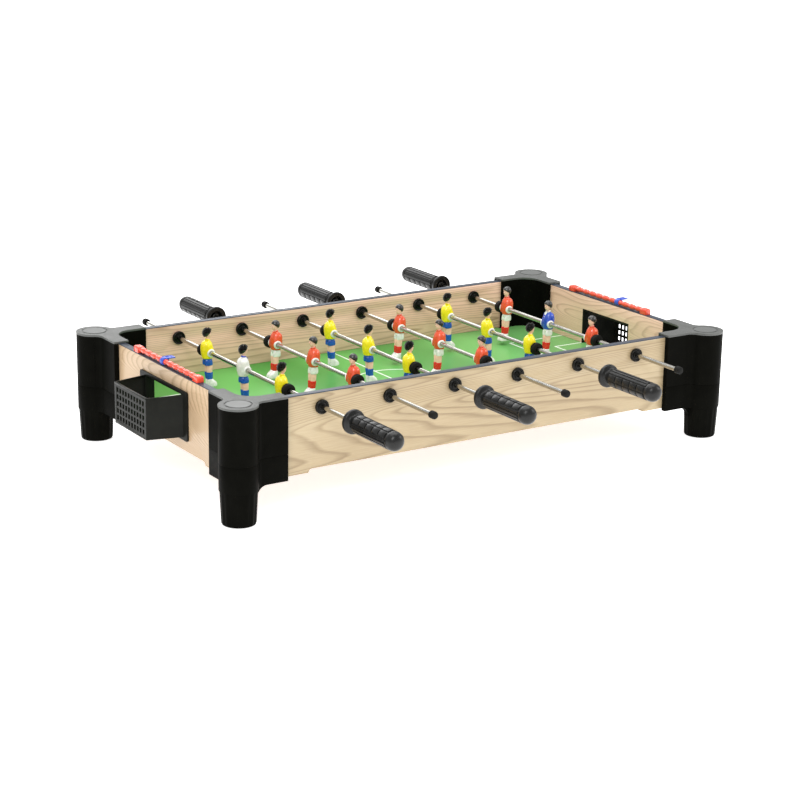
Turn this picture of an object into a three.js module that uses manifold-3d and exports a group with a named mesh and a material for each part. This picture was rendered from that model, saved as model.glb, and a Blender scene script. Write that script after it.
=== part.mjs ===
// Table-top foosball table: four wooden walls held in moulded corner legs, a green playfield,
// six sliding and turning rods with three players each, two goal baskets and two score bars.
// Millimetres. +X runs along the table, +Z is up, and z = 0 is the underside of the feet.
import * as THREE from "three";
import { mergeVertices } from "three/addons/utils/BufferGeometryUtils.js";
import Module from "manifold-3d";

const wasm = await Module();
wasm.setup();

// Clearances
const GAP = 0.3; // between two parts that touch or are fixed together
const ROD_FIT = 0.3; // between a rod and everything that turns or slides on it
const SLIDER_FIT = 0.4; // between a score slider and its bar

// Box of the table
const ROD_PITCH = 115; // between neighbouring rods
const RODS = 6;
const INNER_WIDTH = 435; // between the long walls
const WALL = 12; // thickness of all four walls
const END_RUN = 121.9; // from the outermost rod to the inside of the end wall
const WALL_HEIGHT = 118;
const WALL_BOTTOM = 54; // above the ground
const ROD_DROP = 21.6; // rod axis below the top of the walls
const RAISED_EDGE = 5.5; // the middle of each wall's lower edge is cut up by this much
const RAISED_RUN = 42; // from the wing of a corner to where the raised edge starts

// Playfield
const FIELD_DROP = 84; // surface below the top of the walls
const FIELD_THICK = 5;
const GROOVE = 5; // depth of the groove in the walls that holds it

// Corner legs
const LEG_RADIUS = 29;
const LEG_OUT_X = 3.9; // leg axis outside the outer face of the end wall
const LEG_OUT_Y = 5.6; // leg axis outside the outer face of the long wall
const WING_LONG = 80; // length of the wing from the leg axis along the long wall
const WING_END = 83; // length of the wing along the end wall
const WING_OUT = 8.5; // thickness of the outer wings
const WING_IN = 4.5; // thickness of the inner wings
const POST = 30; // distance from the leg axis to the end of each wall
const INNER_FILLET = 30;
const LEG_BOTTOM = 50.5; // above the ground
const PLATE = 3; // thickness of the flat top plate
const PLATE_LIP = 0.6; // the plate stands out past the leg by this much
const NOTCH = 7; // fillet between a leg and its wings
const FOOT_TOP_RADIUS = 27.3;
const FOOT_BOTTOM_RADIUS = 25;
const FOOT_CHAMFER = 1.5;

// Rods, bushings, rubber stop rings and end caps
const ROD_RADIUS = 3.5;
const BUSHING_RADIUS = 10.7;
const BUSHING_FACE = 4.5; // stands out of the wall on each side
const STOP_RADIUS = 10;
const STOP_LENGTH = 9;
const STOP_GAP = 1; // between an outer player and its stop ring
const CAP_RADIUS = 5.8;
const CAP_LENGTH = 11;
const CAP_RUN = 101; // from the outer face of the wall to the inner end of the cap
const HANDLE_RUN = 82.5; // from the outer face of the wall to the handle's flange
const HANDLE_LENGTH = 119;
const HANDLE_BORE = 100;
const FLANGE_RADIUS = 18;
const FLANGE_THICK = 7;
const NECK_RADIUS = 11;
const NECK_LENGTH = 11;
const GRIP_RADIUS = 13.2;
const REST_SLIDE = [-2, -9, 8, -15, 9, 2]; // where each rod stands along Y at rest

// Players, drawn on the rod axis and facing +X
const PLAYER_PITCH = 117;
const HEAD_TOP = 38;
const FOOT_REACH = 55.5; // from the rod axis to the sole
const SHOULDER = 10.2; // half width over the arms
const BOSS_RADIUS = 7.2;
const TORSO_BACK = 11.3;
const TOE = 10.5; // the boots reach this far in front of the rod axis

// Goals
const MOUTH_WIDTH = 118;
const MOUTH_TOP_DROP = 27; // top of the mouth below the top of the wall
const LINER = 2.7;
const LINER_FLOOR = 3.2;
const BASKET_WALL = 2.5;
const BASKET_WIDTH = 130; // at the wall
const BASKET_FRONT = 105; // at the outer face
const BASKET_DEPTH = 54;
const BASKET_RIM_DROP = 27.5;
const BASKET_HEIGHT = 63.5;
const FLANGE_SIDE = 12; // flange of the basket past its sides
const FLANGE_UP = 6.5;
const FLANGE_DOWN = 5;
const GRID_COLUMNS = 10;
const GRID_ROWS = 5;
const GRID_BAR = 2.4;
const GRID_MARGIN = 5;

// Score bars
const BAR_RADIUS = 4.2;
const BAR_LIFT = 0.8; // between the bar and the wall below it
const BAR_INSET = 48.4; // from the end of a corner's wing to the end of the bar
const BAR_NOTCHES = 10;
const NOTCH_DEPTH = 0.7;
const NOTCH_WIDTH = 5;
const BRACKET_LENGTH = 15;
const BRACKET_WIDTH = 11.5;
const RING_RADIUS = 6.2;
const RING_LENGTH = 9;
const TAB_REACH = 15;
const TAB_WIDTH = 13;
const TAB_THICK = 1.8;
const SLIDER_LEFT = 11; // where each slider stands along its bar
const SLIDER_RIGHT = -26;

// Derived places
const wallTop = WALL_BOTTOM + WALL_HEIGHT;
const rodZ = wallTop - ROD_DROP;
const fieldTop = wallTop - FIELD_DROP;
const innerY = INNER_WIDTH / 2;
const outerY = innerY + WALL;
const innerX = ((RODS - 1) * ROD_PITCH) / 2 + END_RUN;
const outerX = innerX + WALL;
const legX = outerX + LEG_OUT_X;
const legY = outerY + LEG_OUT_Y;
const barLength = 2 * (legY - WING_END - BAR_INSET);
const mouthTop = wallTop - MOUTH_TOP_DROP;
const rodX = (i) => (i - (RODS - 1) / 2) * ROD_PITCH;
const bore = ROD_RADIUS + ROD_FIT;

// A closed three.js geometry as a manifold solid facing out.
function solid(geometry) {
  const bare = new THREE.BufferGeometry();
  bare.setAttribute("position", geometry.getAttribute("position"));
  if (geometry.index) bare.setIndex(geometry.index);
  const merged = mergeVertices(bare, 1e-4);
  const at = merged.attributes.position.array;
  const index = merged.index.array;
  const kept = [];
  let volume = 0;
  for (let i = 0; i < index.length; i += 3) {
    const [a, b, c] = [index[i], index[i + 1], index[i + 2]];
    if (a === b || b === c || a === c) continue;
    kept.push(a, b, c);
    const [p, q, r] = [a, b, c].map((k) => new THREE.Vector3(...at.slice(3 * k, 3 * k + 3)));
    volume += p.dot(q.cross(r));
  }
  if (volume < 0) {
    for (let i = 0; i < kept.length; i += 3) {
      [kept[i + 1], kept[i + 2]] = [kept[i + 2], kept[i + 1]];
    }
  }
  const triVerts = new Uint32Array(kept);
  return new wasm.Manifold(new wasm.Mesh({ numProp: 3, vertProperties: at, triVerts }));
}

// A box between two corners.
function block(x0, x1, y0, y1, z0, z1) {
  const g = new THREE.BoxGeometry(x1 - x0, y1 - y0, z1 - z0);
  g.translate((x0 + x1) / 2, (y0 + y1) / 2, (z0 + z1) / 2);
  return solid(g);
}

// A profile of [radius, height] points turned about Y; "z" stands it up.
function turned(profile, sides, axis = "y") {
  const points = [...profile, profile[0]].map(([r, h]) => new THREE.Vector2(r, h));
  const g = new THREE.LatheGeometry(points, sides);
  if (axis === "z") g.rotateX(Math.PI / 2);
  return solid(g);
}

// A round bar along Y from y0 to y1.
function bar(radius, y0, y1, sides) {
  const g = new THREE.CylinderGeometry(radius, radius, y1 - y0, sides);
  g.translate(0, (y0 + y1) / 2, 0);
  return solid(g);
}

// A plan outline raised from z0 to z1.
function raised(shape, z0, z1, curveSegments = 8) {
  const g = new THREE.ExtrudeGeometry(shape, { depth: z1 - z0, bevelEnabled: false, curveSegments });
  g.translate(0, 0, z0);
  return solid(g);
}

const polygon = (points) => new THREE.Shape(points.map(([x, y]) => new THREE.Vector2(x, y)));

const group = new THREE.Group();
group.name = "foosball_table";

// Adds a solid to the group as a named mesh, moved and turned about Z.
function add(name, made, look, [x, y, z] = [0, 0, 0], turn = 0) {
  const mesh = made.getMesh();
  const g = new THREE.BufferGeometry();
  g.setAttribute("position", new THREE.BufferAttribute(mesh.vertProperties, 3));
  g.setIndex(new THREE.BufferAttribute(mesh.triVerts, 1));
  const part = new THREE.Mesh(g.toNonIndexed(), new THREE.MeshStandardMaterial(look));
  part.geometry.computeVertexNormals();
  part.name = name;
  part.position.set(x, y, z);
  part.rotation.z = turn;
  group.add(part);
}

const WOOD = { color: 0xd9bf96, roughness: 0.55, metalness: 0 };
const BLACK = { color: 0x161616, roughness: 0.35, metalness: 0 };
const RUBBER = { color: 0x1c1c1c, roughness: 0.7, metalness: 0 };
const STEEL = { color: 0xc9ccd0, roughness: 0.2, metalness: 1 };
const GREEN = { color: 0x3fae3a, roughness: 0.5, metalness: 0 };
const YELLOW = { color: 0xf2dc1c, roughness: 0.35, metalness: 0 };
const WHITE = { color: 0xf2f2f0, roughness: 0.35, metalness: 0 };
const RED = { color: 0xd8241c, roughness: 0.35, metalness: 0 };
const BLUE = { color: 0x2443b8, roughness: 0.35, metalness: 0 };

// Both long walls: a board with a groove for the playfield and six bushings pressed through it.
function longWall() {
  const half = legX - POST - GAP;
  const rise = legX - WING_LONG - RAISED_RUN;
  let wall = block(-half, half, innerY, outerY, WALL_BOTTOM, wallTop);
  const cut = polygon([
    [-rise - RAISED_EDGE, WALL_BOTTOM - 1],
    [rise + RAISED_EDGE, WALL_BOTTOM - 1],
    [rise + RAISED_EDGE, WALL_BOTTOM],
    [rise, WALL_BOTTOM + RAISED_EDGE],
    [-rise, WALL_BOTTOM + RAISED_EDGE],
    [-rise - RAISED_EDGE, WALL_BOTTOM],
  ]);
  const g = new THREE.ExtrudeGeometry(cut, { depth: WALL + 2, bevelEnabled: false });
  g.rotateX(Math.PI / 2);
  g.translate(0, outerY + 1, 0);
  wall = wall.subtract(solid(g));
  wall = wall.subtract(fieldGroove(-half - 1, half + 1, innerY - 1, innerY + GROOVE));
  for (let i = 0; i < RODS; i += 1) {
    const face = BUSHING_FACE;
    const flange = bar(BUSHING_RADIUS, innerY - face, outerY + face, 16);
    wall = wall.add(flange.translate([rodX(i), 0, rodZ]));
    const hole = bar(bore, innerY - face - 1, outerY + face + 1, 12);
    wall = wall.subtract(hole.translate([rodX(i), 0, rodZ]));
  }
  return wall;
}

function fieldGroove(x0, x1, y0, y1) {
  return block(x0, x1, y0, y1, fieldTop - FIELD_THICK - GAP, fieldTop + GAP);
}

// Both end walls: a board with the same groove and the hole of the goal.
function endWall() {
  const half = legY - POST - GAP;
  const rise = legY - WING_END - RAISED_RUN / 2;
  let wall = block(innerX, outerX, -half, half, WALL_BOTTOM, wallTop);
  const under = block(innerX - 1, outerX + 1, -rise, rise, WALL_BOTTOM - 1, WALL_BOTTOM + RAISED_EDGE);
  wall = wall.subtract(under);
  wall = wall.subtract(fieldGroove(innerX - 1, innerX + GROOVE, -half - 1, half + 1));
  const side = MOUTH_WIDTH / 2 + LINER + GAP;
  const low = fieldTop - LINER_FLOOR - 2 * GAP;
  return wall.subtract(block(innerX - 1, outerX + 1, -side, side, low, mouthTop + LINER + GAP));
}

// The playfield: a board whose edges run into the grooves between the corner legs.
function playfield() {
  const low = fieldTop - FIELD_THICK;
  const x = innerX - WING_IN - GAP;
  const y = innerY - WING_IN - GAP;
  const r = INNER_FILLET + GAP;
  const middle = new THREE.Shape();
  middle.moveTo(-x + r, -y);
  middle.absarc(x - r, -y + r, r, -Math.PI / 2, 0);
  middle.absarc(x - r, y - r, r, 0, Math.PI / 2);
  middle.absarc(-x + r, y - r, r, Math.PI / 2, Math.PI);
  middle.absarc(-x + r, -y + r, r, Math.PI, 1.5 * Math.PI);
  const sideX = legX - WING_LONG - GAP;
  const sideY = innerY + GROOVE - GAP;
  const endX = innerX + GROOVE - GAP;
  const endY = legY - WING_END - GAP;
  return raised(middle, low, fieldTop, 4)
    .add(block(-sideX, sideX, -sideY, sideY, low, fieldTop))
    .add(block(-endX, endX, -endY, endY, low, fieldTop));
}

// Plan of a corner leg in the +X +Y corner, for a given leg radius.
function cornerPlan(radius) {
  const x0 = innerX - WING_IN;
  const y0 = innerY - WING_IN;
  const x1 = outerX + WING_OUT;
  const y1 = outerY + WING_OUT;
  const out = radius + NOTCH;
  const endY = legY - Math.sqrt(out ** 2 - (x1 + NOTCH - legX) ** 2);
  const endX = legX - Math.sqrt(out ** 2 - (y1 + NOTCH - legY) ** 2);
  const a = Math.atan2(endY - legY, x1 + NOTCH - legX);
  const b = Math.atan2(y1 + NOTCH - legY, endX - legX);
  const shape = new THREE.Shape();
  const f = INNER_FILLET;
  shape.moveTo(legX - WING_LONG, y0);
  shape.absarc(x0 - f, y0 - f, f, Math.PI / 2, 0, true);
  shape.lineTo(x0, legY - WING_END);
  shape.lineTo(x1, legY - WING_END);
  shape.absarc(x1 + NOTCH, endY, NOTCH, Math.PI, a + Math.PI, true);
  shape.absarc(legX, legY, radius, a, b, false);
  shape.absarc(endX, y1 + NOTCH, NOTCH, b + Math.PI, 1.5 * Math.PI, true);
  shape.lineTo(legX - WING_LONG, y1);
  shape.closePath();
  return shape;
}

// One corner leg: leg, wings, post, top plate and foot moulded as one, with a slot for each wall.
function cornerLeg() {
  const plate = raised(cornerPlan(LEG_RADIUS + PLATE_LIP), wallTop + GAP, wallTop + GAP + PLATE, 6);
  let leg = raised(cornerPlan(LEG_RADIUS), LEG_BOTTOM, wallTop + GAP + PLATE / 2, 6);
  const low = LEG_BOTTOM - 1;
  const high = wallTop + GAP;
  const slotLong = block(0, legX - POST, innerY - GAP, outerY + GAP, low, high);
  const slotEnd = block(innerX - GAP, outerX + GAP, 0, legY - POST, low, high);
  leg = leg.subtract(slotLong).subtract(slotEnd).add(plate);
  const foot = turned(
    [
      [0, 0],
      [FOOT_BOTTOM_RADIUS - FOOT_CHAMFER, 0],
      [FOOT_BOTTOM_RADIUS, FOOT_CHAMFER],
      [FOOT_TOP_RADIUS, LEG_BOTTOM + 1],
      [0, LEG_BOTTOM + 1],
    ],
    28,
    "z",
  );
  return leg.add(foot.translate([legX, legY, 0]));
}

// One goal basket outside the +X wall: open-topped box with a grid front, flange and mouth liner.
function goalBasket() {
  const face = outerX + GAP;
  const rim = wallTop - BASKET_RIM_DROP;
  const low = rim - BASKET_HEIGHT;
  const front = face + BASKET_DEPTH + BASKET_WALL;
  const w = BASKET_WALL;
  const box = (inset, x0, x1) =>
    polygon([
      [x0, -BASKET_WIDTH / 2 + inset],
      [x1, -BASKET_FRONT / 2 + inset],
      [x1, BASKET_FRONT / 2 - inset],
      [x0, BASKET_WIDTH / 2 - inset],
    ]);
  let basket = raised(box(0, face, front), low, rim);
  basket = basket.subtract(raised(box(w, face + w, front - w), low + w, rim + 1));
  const wide = BASKET_WIDTH / 2 + FLANGE_SIDE;
  basket = basket.add(block(face, face + w, -wide, wide, low - FLANGE_DOWN, rim + FLANGE_UP));
  const side = MOUTH_WIDTH / 2 + LINER;
  const floor = fieldTop - LINER_FLOOR - GAP;
  basket = basket.add(block(innerX - GAP, face + w, -side, side, floor, mouthTop + LINER));
  basket = basket.subtract(
    block(innerX - 1, innerX + GROOVE, -side - 1, side + 1, floor - 1, fieldTop + GAP),
  );
  const half = MOUTH_WIDTH / 2;
  basket = basket.subtract(block(innerX - 1, face + w + 1, -half, half, fieldTop - GAP, mouthTop));
  const usableY = BASKET_FRONT - 2 * GRID_MARGIN;
  const usableZ = BASKET_HEIGHT - 2 * GRID_MARGIN;
  const stepY = usableY / GRID_COLUMNS;
  const stepZ = usableZ / GRID_ROWS;
  for (let c = 0; c < GRID_COLUMNS; c += 1) {
    for (let r = 0; r < GRID_ROWS; r += 1) {
      const y = -usableY / 2 + (c + 0.5) * stepY;
      const z = low + GRID_MARGIN + (r + 0.5) * stepZ;
      const hy = (stepY - GRID_BAR) / 2;
      const hz = (stepZ - GRID_BAR) / 2;
      basket = basket.subtract(block(front - w - 1, front + 1, y - hy, y + hy, z - hz, z + hz));
    }
  }
  return basket;
}

// A score bar along Y on top of an end wall, its axis on the origin.
const barZ = BAR_RADIUS + BAR_LIFT;
function scoreBar() {
  const half = barLength / 2;
  const span = barLength - 2 * BRACKET_LENGTH;
  let made = bar(BAR_RADIUS, -half + 1, half - 1, 12);
  for (let i = 1; i < BAR_NOTCHES; i += 1) {
    const y = -span / 2 + (i * span) / BAR_NOTCHES;
    const ring = bar(BAR_RADIUS + 1, y - NOTCH_WIDTH / 2, y + NOTCH_WIDTH / 2, 12);
    const core = bar(BAR_RADIUS - NOTCH_DEPTH, y - NOTCH_WIDTH, y + NOTCH_WIDTH, 12);
    made = made.subtract(ring.subtract(core));
  }
  const w = BRACKET_WIDTH / 2;
  for (const side of [-1, 1]) {
    const y = side * (half - BRACKET_LENGTH / 2);
    const l = BRACKET_LENGTH / 2;
    made = made.add(block(-w, w, y - l, y + l, -barZ, BAR_RADIUS));
  }
  return made;
}

// The sliding pointer of a score bar: a clip open underneath, with a flat tab.
function scoreSlider() {
  const l = RING_LENGTH / 2;
  const t = TAB_WIDTH / 2;
  const high = RING_RADIUS;
  let made = bar(RING_RADIUS, -l, l, 16);
  made = made.add(block(0, TAB_REACH, -t, t, high - TAB_THICK, high));
  made = made.subtract(block(-high - 1, high + 1, -l - 1, l + 1, -high - 1, -BAR_RADIUS));
  made = made.subtract(block(TAB_REACH - 9, TAB_REACH - 3, -t + 3, t - 3, high - 0.8, high + 1));
  return made.subtract(bar(BAR_RADIUS + SLIDER_FIT, -t - 1, t + 1, 16));
}

// Where the pieces of one rod stand along it; the handle is at -Y.
const flangeY = -(outerY + HANDLE_RUN);
const capY = outerY + CAP_RUN;
const stopY = PLAYER_PITCH + SHOULDER + STOP_GAP;

function rod() {
  const cap = turned(
    [
      [0, capY],
      [CAP_RADIUS, capY],
      [CAP_RADIUS, capY + CAP_LENGTH * 0.5],
      [CAP_RADIUS * 0.8, capY + CAP_LENGTH * 0.85],
      [CAP_RADIUS * 0.4, capY + CAP_LENGTH],
      [0, capY + CAP_LENGTH],
    ],
    12,
  );
  return bar(ROD_RADIUS, flangeY - HANDLE_BORE + 1, capY + 1, 12).add(cap);
}

function handle() {
  const tip = flangeY - HANDLE_LENGTH;
  const neck = flangeY - FLANGE_THICK;
  const grip = neck - NECK_LENGTH;
  const deep = flangeY - HANDLE_BORE;
  return turned(
    [
      [bore, flangeY],
      [FLANGE_RADIUS, flangeY],
      [FLANGE_RADIUS, neck + 2],
      [NECK_RADIUS, neck],
      [NECK_RADIUS, grip],
      [GRIP_RADIUS, grip - 1],
      [GRIP_RADIUS, tip + 10],
      [GRIP_RADIUS * 0.9, tip + 5],
      [GRIP_RADIUS * 0.65, tip + 1.8],
      [GRIP_RADIUS * 0.3, tip],
      [0, tip],
      [0, deep],
      [bore, deep],
    ],
    16,
  );
}

function stopRing() {
  const outer = bar(STOP_RADIUS, stopY, stopY + STOP_LENGTH, 16);
  return outer.subtract(bar(bore, stopY - 1, stopY + STOP_LENGTH + 1, 12));
}

// One player: the outline from the front crossed with the outline from the side.
function player() {
  const shoulderZ = 18;
  const neckZ = 23;
  const hemZ = -8.5;
  const shortsZ = -20;
  const kneeZ = -31.5;
  const ankleZ = -FOOT_REACH + 11.5;
  const front = [
    [2.5, HEAD_TOP],
    [5.2, HEAD_TOP - 4],
    [5.2, neckZ + 3],
    [3, neckZ],
    [3, neckZ - 1.5],
    [SHOULDER - 2, shoulderZ],
    [SHOULDER, shoulderZ - 4],
    [SHOULDER, hemZ + 2],
    [7.5, hemZ],
    [7.4, shortsZ],
    [6.3, shortsZ - 0.5],
    [6, ankleZ],
    [6.6, ankleZ - 3],
    [6.6, -FOOT_REACH],
  ];
  const back = -TORSO_BACK;
  const side = [
    [-4, HEAD_TOP],
    [-6.6, HEAD_TOP - 5],
    [-6, neckZ + 3],
    [-4, neckZ],
    [back + 1.5, shoulderZ],
    [back, shoulderZ - 5],
    [back + 0.5, -2],
    [back + 3.5, hemZ],
    [back + 3.8, shortsZ],
    [-4, shortsZ - 0.5],
    [-3.4, ankleZ],
    [-3, -FOOT_REACH],
    [TOE, -FOOT_REACH],
    [TOE, -FOOT_REACH + 5],
    [4, ankleZ],
    [3.9, shortsZ - 0.5],
    [4.4, shortsZ],
    [4.6, hemZ],
    [5.8, 2],
    [5, shoulderZ - 4],
    [1, neckZ - 3],
    [0, neckZ],
    [4.6, neckZ + 2],
    [5.2, HEAD_TOP - 6],
    [2.5, HEAD_TOP],
  ];
  const mirrored = front.map(([y, z]) => [-y, z]).reverse();
  const faceOn = new THREE.ExtrudeGeometry(polygon([...front, ...mirrored]), {
    depth: 60,
    bevelEnabled: false,
  });
  faceOn.translate(0, 0, -30);
  faceOn.rotateX(Math.PI / 2);
  faceOn.rotateZ(Math.PI / 2);
  const sideOn = new THREE.ExtrudeGeometry(polygon(side), { depth: 60, bevelEnabled: false });
  sideOn.translate(0, 0, -30);
  sideOn.rotateX(Math.PI / 2);
  const body = solid(faceOn).intersect(solid(sideOn));
  const legs = block(-30, 30, -0.9, 0.9, ankleZ + 1, shortsZ + 2);
  const boss = bar(BOSS_RADIUS, -SHOULDER, SHOULDER, 12);
  return body.subtract(legs).add(boss).subtract(bar(bore, -SHOULDER - 1, SHOULDER + 1, 12));
}

const wallLong = longWall();
add("wall_back", wallLong, WOOD);
add("wall_front", wallLong, WOOD, [0, 0, 0], Math.PI);
const wallEnd = endWall();
add("wall_right", wallEnd, WOOD);
add("wall_left", wallEnd, WOOD, [0, 0, 0], Math.PI);
add("playfield", playfield(), GREEN);

const corner = cornerLeg();
const cornerOther = corner.mirror([1, 0, 0]);
add("corner_back_right", corner, BLACK);
add("corner_front_left", corner, BLACK, [0, 0, 0], Math.PI);
add("corner_back_left", cornerOther, BLACK);
add("corner_front_right", cornerOther, BLACK, [0, 0, 0], Math.PI);

const basket = goalBasket();
add("goal_basket_right", basket, BLACK);
add("goal_basket_left", basket, BLACK, [0, 0, 0], Math.PI);

const barX = (innerX + outerX) / 2;
const score = scoreBar();
const slider = scoreSlider();
for (const [side, place, y] of [["left", -1, SLIDER_LEFT], ["right", 1, SLIDER_RIGHT]]) {
  add("score_bar_" + side, score, RED, [place * barX, 0, wallTop + GAP + barZ]);
  add("score_slider_" + side, slider, BLUE, [place * barX, y, wallTop + GAP + barZ]);
}

const rodSolid = rod();
const handleSolid = handle();
const ringSolid = stopRing();
const playerSolid = player();
for (let i = 0; i < RODS; i += 1) {
  const n = i + 1;
  const yellow = i % 2 === 0;
  const turn = yellow ? 0 : Math.PI;
  const at = [rodX(i), REST_SLIDE[i], rodZ];
  add("rod_" + n, rodSolid, STEEL, at, turn);
  add("handle_" + n, handleSolid, BLACK, at, turn);
  add("stop_ring_" + n + "_back", ringSolid, RUBBER, at, 0);
  add("stop_ring_" + n + "_front", ringSolid, RUBBER, at, Math.PI);
  for (const [place, step] of [["front", -1], ["middle", 0], ["back", 1]]) {
    const keeper = place === "middle" && (i === 0 || i === RODS - 1);
    const shirt = keeper ? (yellow ? WHITE : BLUE) : yellow ? YELLOW : RED;
    const spot = [rodX(i), REST_SLIDE[i] + step * PLAYER_PITCH, rodZ];
    add("player_" + n + "_" + place, playerSolid, shirt, spot, turn);
  }
}

export default group;
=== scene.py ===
import math

import bmesh
import bpy
from mathutils import Matrix, Vector


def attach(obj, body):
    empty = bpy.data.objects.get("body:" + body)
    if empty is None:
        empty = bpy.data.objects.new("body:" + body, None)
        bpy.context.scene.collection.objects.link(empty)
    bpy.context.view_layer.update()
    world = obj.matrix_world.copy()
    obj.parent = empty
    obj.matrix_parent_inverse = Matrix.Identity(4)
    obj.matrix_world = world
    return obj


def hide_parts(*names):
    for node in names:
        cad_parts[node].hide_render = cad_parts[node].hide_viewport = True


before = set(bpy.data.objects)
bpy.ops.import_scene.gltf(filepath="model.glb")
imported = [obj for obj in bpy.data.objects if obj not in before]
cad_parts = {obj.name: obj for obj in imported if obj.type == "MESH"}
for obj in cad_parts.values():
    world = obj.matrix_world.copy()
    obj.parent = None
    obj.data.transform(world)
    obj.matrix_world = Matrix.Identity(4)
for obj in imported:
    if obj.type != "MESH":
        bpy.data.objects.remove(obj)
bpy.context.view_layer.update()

MM = 0.001

# ---------------------------------------------------------------- main sizes, in millimetres
ROD_PITCH = 115
RODS = 6
INNER_Y = 217.5
OUTER_Y = 229.5
INNER_X = 409.4
OUTER_X = 421.4
LONG_HALF = 394.7  # half length of a long board
END_HALF = 204.7  # half length of an end board
WALL_MID = 223.5  # middle plane of a long board
SLOT_FIT = 0.3  # play of the playfield in its grooves
WALL_LOW = 54
WALL_TOP = 172
BAND = 1.2
ROD_Z = 150.4
FIELD_TOP = 88
FIELD_LOW = 83
LEG_X = 425.3
LEG_Y = 235.1
LEG_LOW = 50.5
LEG_RADIUS = 28.5
PLATE_RADIUS = 28.8
WING_OUTER_X, WING_OUTER_Y = 429.9, 238.0
WING_INNER_X, WING_INNER_Y = 404.9, 213.0
PLATE_LOW = 172.3
PLATE_TOP = 175.3
SEAM_Z = 90
ROD_BORE = 3.75
STOP_START = 128.2  # inner face of a stop ring, from the rod's middle
GRIP_START = 312  # open end of a grip, from the rod's middle
FACET = 360 / 96  # degrees between two edges of a piece turned with 96 sides
PLAYER_PITCH = 117
REST_SLIDE = [-2, -9, 8, -15, 9, 2]


def rod_x(index):
    return (index - (RODS - 1) / 2) * ROD_PITCH


# ---------------------------------------------------------------- camera
def set_camera():
    azimuth, elevation, roll = math.radians(-33.2), math.radians(16.31), math.radians(0.97)
    back = Vector(
        (
            math.sin(azimuth) * math.cos(elevation),
            -math.cos(azimuth) * math.cos(elevation),
            math.sin(elevation),
        )
    )
    right = Vector((math.cos(azimuth), math.sin(azimuth), 0))
    up = back.cross(right)
    tilted_right = right * math.cos(roll) + up * math.sin(roll)
    tilted_up = back.cross(tilted_right)
    target = Vector((-0.0120, -0.01275, 0.0646))
    lens = bpy.data.cameras.new("camera")
    lens.sensor_width = 36
    lens.lens = 92.51
    lens.clip_start = 0.1
    lens.clip_end = 50
    camera = bpy.data.objects.new("camera", lens)
    bpy.context.scene.collection.objects.link(camera)
    turn = Matrix((tilted_right, tilted_up, back)).transposed().to_4x4()
    camera.matrix_world = Matrix.Translation(target + back * 3.2766) @ turn
    bpy.context.scene.camera = camera


set_camera()


# ---------------------------------------------------------------- bench tools
def clear():
    if bpy.context.object and bpy.context.object.mode != "OBJECT":
        bpy.ops.object.mode_set(mode="OBJECT")
    bpy.ops.object.select_all(action="DESELECT")


def hold(piece):
    clear()
    piece.select_set(True)
    bpy.context.view_layer.objects.active = piece


def named(name):
    piece = bpy.context.active_object
    piece.name = name
    piece.data.name = name
    return piece


def place(piece, at=(0, 0, 0), turn=(0, 0, 0), scale=(1, 1, 1)):
    """Moves, turns and scales a piece about the origin, in millimetres and degrees."""
    hold(piece)
    piece.location = Vector(at) * MM
    piece.rotation_euler = [math.radians(angle) for angle in turn]
    piece.scale = scale
    bpy.ops.object.transform_apply(location=True, rotation=True, scale=True)
    if scale[0] * scale[1] * scale[2] < 0:
        outward(piece)
    return piece


def outward(piece):
    hold(piece)
    bpy.ops.object.mode_set(mode="EDIT")
    bpy.ops.mesh.select_all(action="SELECT")
    bpy.ops.mesh.normals_make_consistent(inside=False)
    bpy.ops.object.mode_set(mode="OBJECT")


def twin(piece, name, **move):
    """A copy with its own mesh, placed."""
    made = piece.copy()
    made.data = piece.data.copy()
    made.name = name
    made.data.name = name
    bpy.context.scene.collection.objects.link(made)
    return place(made, **move) if move else made


def choose(piece, kind, rule):
    """Edit mode with only the faces, edges or vertices that the rule accepts selected."""
    hold(piece)
    bpy.ops.object.mode_set(mode="EDIT")
    bpy.ops.mesh.select_mode(type=kind)
    bpy.ops.mesh.select_all(action="DESELECT")
    mesh = bmesh.from_edit_mesh(piece.data)
    items = {"VERT": mesh.verts, "EDGE": mesh.edges, "FACE": mesh.faces}[kind]
    for item in items:
        if rule(item):
            item.select_set(True)
    bmesh.update_edit_mesh(piece.data)


def done():
    bpy.ops.object.mode_set(mode="OBJECT")


def box(name, low, high):
    clear()
    low, high = Vector(low) * MM, Vector(high) * MM
    bpy.ops.mesh.primitive_cube_add(size=1, location=(low + high) / 2)
    piece = named(name)
    piece.scale = high - low
    bpy.ops.object.transform_apply(location=True, rotation=True, scale=True)
    return piece


def tower(name, levels, sides=16, ring=False):
    """Rings of (height, x, y, x radius, y radius) raised in turn; ring=True joins last to first."""
    clear()
    height, x, y, wide, deep = levels[0]
    fill = "NOTHING" if ring else "NGON"
    bpy.ops.mesh.primitive_circle_add(vertices=sides, radius=MM, fill_type=fill)
    piece = named(name)
    piece.scale = (wide, deep, 1)
    piece.location = Vector((x, y, height)) * MM
    bpy.ops.object.transform_apply(location=True, rotation=True, scale=True)
    bpy.ops.object.mode_set(mode="EDIT")
    bpy.ops.mesh.select_mode(type="VERT")
    bpy.ops.mesh.select_all(action="SELECT")
    for new in levels[1:]:
        step = Vector((new[1] - x, new[2] - y, new[0] - height)) * MM
        bpy.ops.mesh.extrude_region_move(TRANSFORM_OT_translate={"value": step})
        height, x, y = new[:3]
        middle = Vector((x, y, height)) * MM
        size = (new[3] / wide, new[4] / deep, 1)
        bpy.ops.transform.resize(value=size, center_override=middle)
        wide, deep = new[3:]
    bpy.ops.mesh.select_all(action="SELECT")
    if ring:
        bpy.ops.mesh.remove_doubles(threshold=1e-6)
    bpy.ops.mesh.normals_make_consistent(inside=False)
    done()
    return piece


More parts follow.
